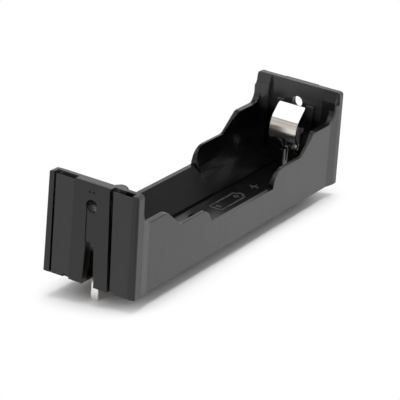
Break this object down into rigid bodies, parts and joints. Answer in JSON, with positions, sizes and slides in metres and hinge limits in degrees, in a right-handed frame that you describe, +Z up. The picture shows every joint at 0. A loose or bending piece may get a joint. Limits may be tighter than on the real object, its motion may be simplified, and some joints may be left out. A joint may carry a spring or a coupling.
{
  "type": "cylindrical cell holder",
  "caption": "Open cradle with scalloped snap-in walls and a folded leaf contact at each end, soldered to a board by two pins.",
  "frame": {"origin": "middle of the underside, on the plane that seats on the board", "axes": "+X along the cell, from the thick end wall to the thin one; +Y across; +Z up, away from the board"},
  "size_m": [0.0782, 0.0216, 0.0251],
  "materials": {
    "housing": "satin black glass-filled nylon",
    "contact": "bright tin or nickel plate"
  },
  "bodies": {
    "root": {"housing": "housing", "contact_left": "contact", "contact_right": "contact"}
  },
  "joints": []
}
